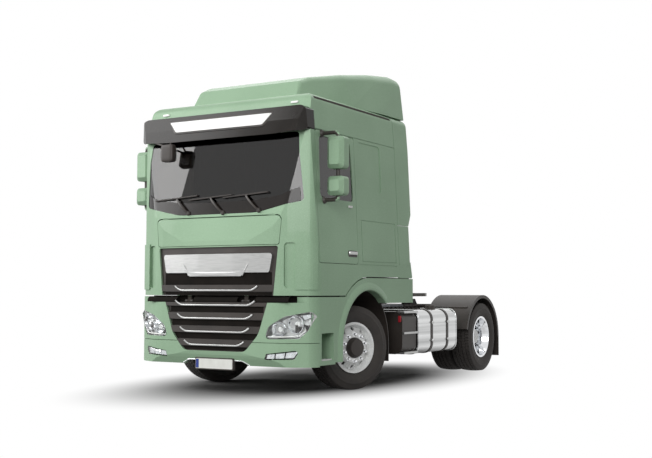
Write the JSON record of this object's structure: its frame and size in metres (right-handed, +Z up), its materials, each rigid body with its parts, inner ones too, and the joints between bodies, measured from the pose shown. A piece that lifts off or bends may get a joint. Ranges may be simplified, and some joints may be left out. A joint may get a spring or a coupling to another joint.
{
  "type": "semi truck tractor unit",
  "caption": "Cabover road tractor with a high sleeper cab, tilting cab, opening doors and front flap, steered front wheels, twin rear wheels and a fifth-wheel coupling.",
  "frame": {"origin": "on the ground, under the middle of the truck's length and width", "axes": "+Z up, the front faces -Y, the driver's side is +X"},
  "size_m": [3.005, 5.94, 4],
  "materials": {
    "green_paint": "pale sage metallic paint under clear coat",
    "chassis_paint": "dark chassis enamel",
    "engine_iron": "painted casting",
    "coupling_iron": "cast and greased",
    "deck_aluminium": "rolled tread plate",
    "tank_aluminium": "bright rolled sheet",
    "black_plastic": "moulded, fine grain",
    "exhaust_steel": "brushed",
    "bellows_rubber": "moulded",
    "tail_red": "moulded lens",
    "lamp_glass": "clear moulded lens",
    "window_glass": "tinted",
    "badge_silver": "satin anodised",
    "interior_plastic": "grained",
    "seat_fabric": "woven",
    "wheel_silver": "silver wheel enamel",
    "wheel_chrome": "polished",
    "tyre_rubber": "moulded"
  },
  "bodies": {
    "chassis": {"side_rails": "chassis_paint", "cross_members": "chassis_paint", "front_beam": "chassis_paint", "engine": "engine_iron", "prop_shaft": "chassis_paint", "axle_beams": "chassis_paint", "springs": "chassis_paint", "air_springs": "bellows_rubber", "fuel_tank": "tank_aluminium", "tank_straps": "black_plastic", "urea_tank": "black_plastic", "tank_steps": "tank_aluminium", "exhaust_box": "exhaust_steel", "rear_mudguards": "black_plastic", "catwalk": "deck_aluminium", "fifth_wheel_base": "chassis_paint", "rear_beam": "chassis_paint", "tail_lamps": "tail_red", "bumper": "green_paint", "lamp_panels": "green_paint", "lower_grille": "black_plastic", "front_lamps": "lamp_glass", "entry_steps": "green_paint", "wheel_arches": "green_paint", "arch_liners": "black_plastic"},
    "cab": {"cab_floor": "interior_plastic", "cab_front": "green_paint", "cab_sides": "green_paint", "cab_back": "green_paint", "cab_roof": "green_paint", "roof_fairing": "green_paint", "side_deflectors": "green_paint", "windscreen": "window_glass", "sun_visor": "black_plastic", "upper_grille": "black_plastic", "badge_bar": "badge_silver", "dashboard": "interior_plastic", "steering_wheel": "interior_plastic", "seats": "seat_fabric", "bunk": "seat_fabric"},
    "front_flap": {"front_lid": "green_paint"},
    "left_door": {"door_left": "green_paint", "door_glass_left": "window_glass", "mirror_left": "green_paint"},
    "right_door": {"door_right": "green_paint", "door_glass_right": "window_glass", "mirror_right": "green_paint"},
    "coupling": {"fifth_wheel_plate": "coupling_iron"},
    "left_knuckle": {"knuckle_left": "chassis_paint"},
    "right_knuckle": {"knuckle_right": "chassis_paint"},
    "tie": {"track_rod": "chassis_paint"},
    "left_front_wheel": {"rim_front_left": "wheel_silver", "tyre_front_left": "tyre_rubber"},
    "right_front_wheel": {"rim_front_right": "wheel_silver", "tyre_front_right": "tyre_rubber"},
    "left_rear_wheels": {"rims_rear_left": "wheel_chrome", "tyres_rear_left": "tyre_rubber"},
    "right_rear_wheels": {"rims_rear_right": "wheel_chrome", "tyres_rear_right": "tyre_rubber"}
  },
  "joints": [
    {"name": "cab_tilt", "type": "hinge", "parent": "chassis", "child": "cab", "pos_m": [0, -2.898, 1.06], "axis": [1, 0, 0], "range_deg": [0, 60]},
    {"name": "left_door_swing", "type": "hinge", "parent": "cab", "child": "left_door", "pos_m": [1.246, -2.686, 1.555], "axis": [0, 0, -1], "range_deg": [0, 75]},
    {"name": "right_door_swing", "type": "hinge", "parent": "cab", "child": "right_door", "pos_m": [-1.246, -2.686, 1.555], "axis": [0, 0, 1], "range_deg": [0, 75]},
    {"name": "front_flap_lift", "type": "hinge", "parent": "cab", "child": "front_flap", "pos_m": [0, -2.909, 2.028], "axis": [-1, 0, 0], "range_deg": [0, 75]},
    {"name": "left_steer", "type": "hinge", "parent": "chassis", "child": "left_knuckle", "pos_m": [0.86, -1.59, 0.505], "axis": [0, 0, 1], "range_deg": [-18, 62]},
    {"name": "right_steer", "type": "hinge", "parent": "chassis", "child": "right_knuckle", "pos_m": [-0.86, -1.59, 0.505], "axis": [0, 0, 1], "range_deg": [-18, 62]},
    {"name": "tie_swing", "type": "hinge", "parent": "left_knuckle", "child": "tie", "pos_m": [0.93867, -1.39529, 0.38], "axis": [0, 0, 1], "range_deg": [-62, 18]},
    {"name": "left_front_spin", "type": "hinge", "parent": "left_knuckle", "child": "left_front_wheel", "pos_m": [0.86, -1.59, 0.505], "axis": [0.9272, -0.3746, 0], "continuous": true},
    {"name": "right_front_spin", "type": "hinge", "parent": "right_knuckle", "child": "right_front_wheel", "pos_m": [-0.86, -1.59, 0.505], "axis": [0.9272, -0.3746, 0], "continuous": true},
    {"name": "left_rear_spin", "type": "hinge", "parent": "chassis", "child": "left_rear_wheels", "pos_m": [0.91, 2.01, 0.505], "axis": [1, 0, 0], "continuous": true},
    {"name": "right_rear_spin", "type": "hinge", "parent": "chassis", "child": "right_rear_wheels", "pos_m": [-0.91, 2.01, 0.505], "axis": [1, 0, 0], "continuous": true},
    {"name": "coupling_pitch", "type": "hinge", "parent": "chassis", "child": "coupling", "pos_m": [0, 1.45, 1.044], "axis": [1, 0, 0], "range_deg": [-12, 12]}
  ],
  "couplings": [
    {"joint": "right_steer", "follows": "left_steer", "ratio": 1},
    {"joint": "tie_swing", "follows": "left_steer", "ratio": -1}
  ]
}
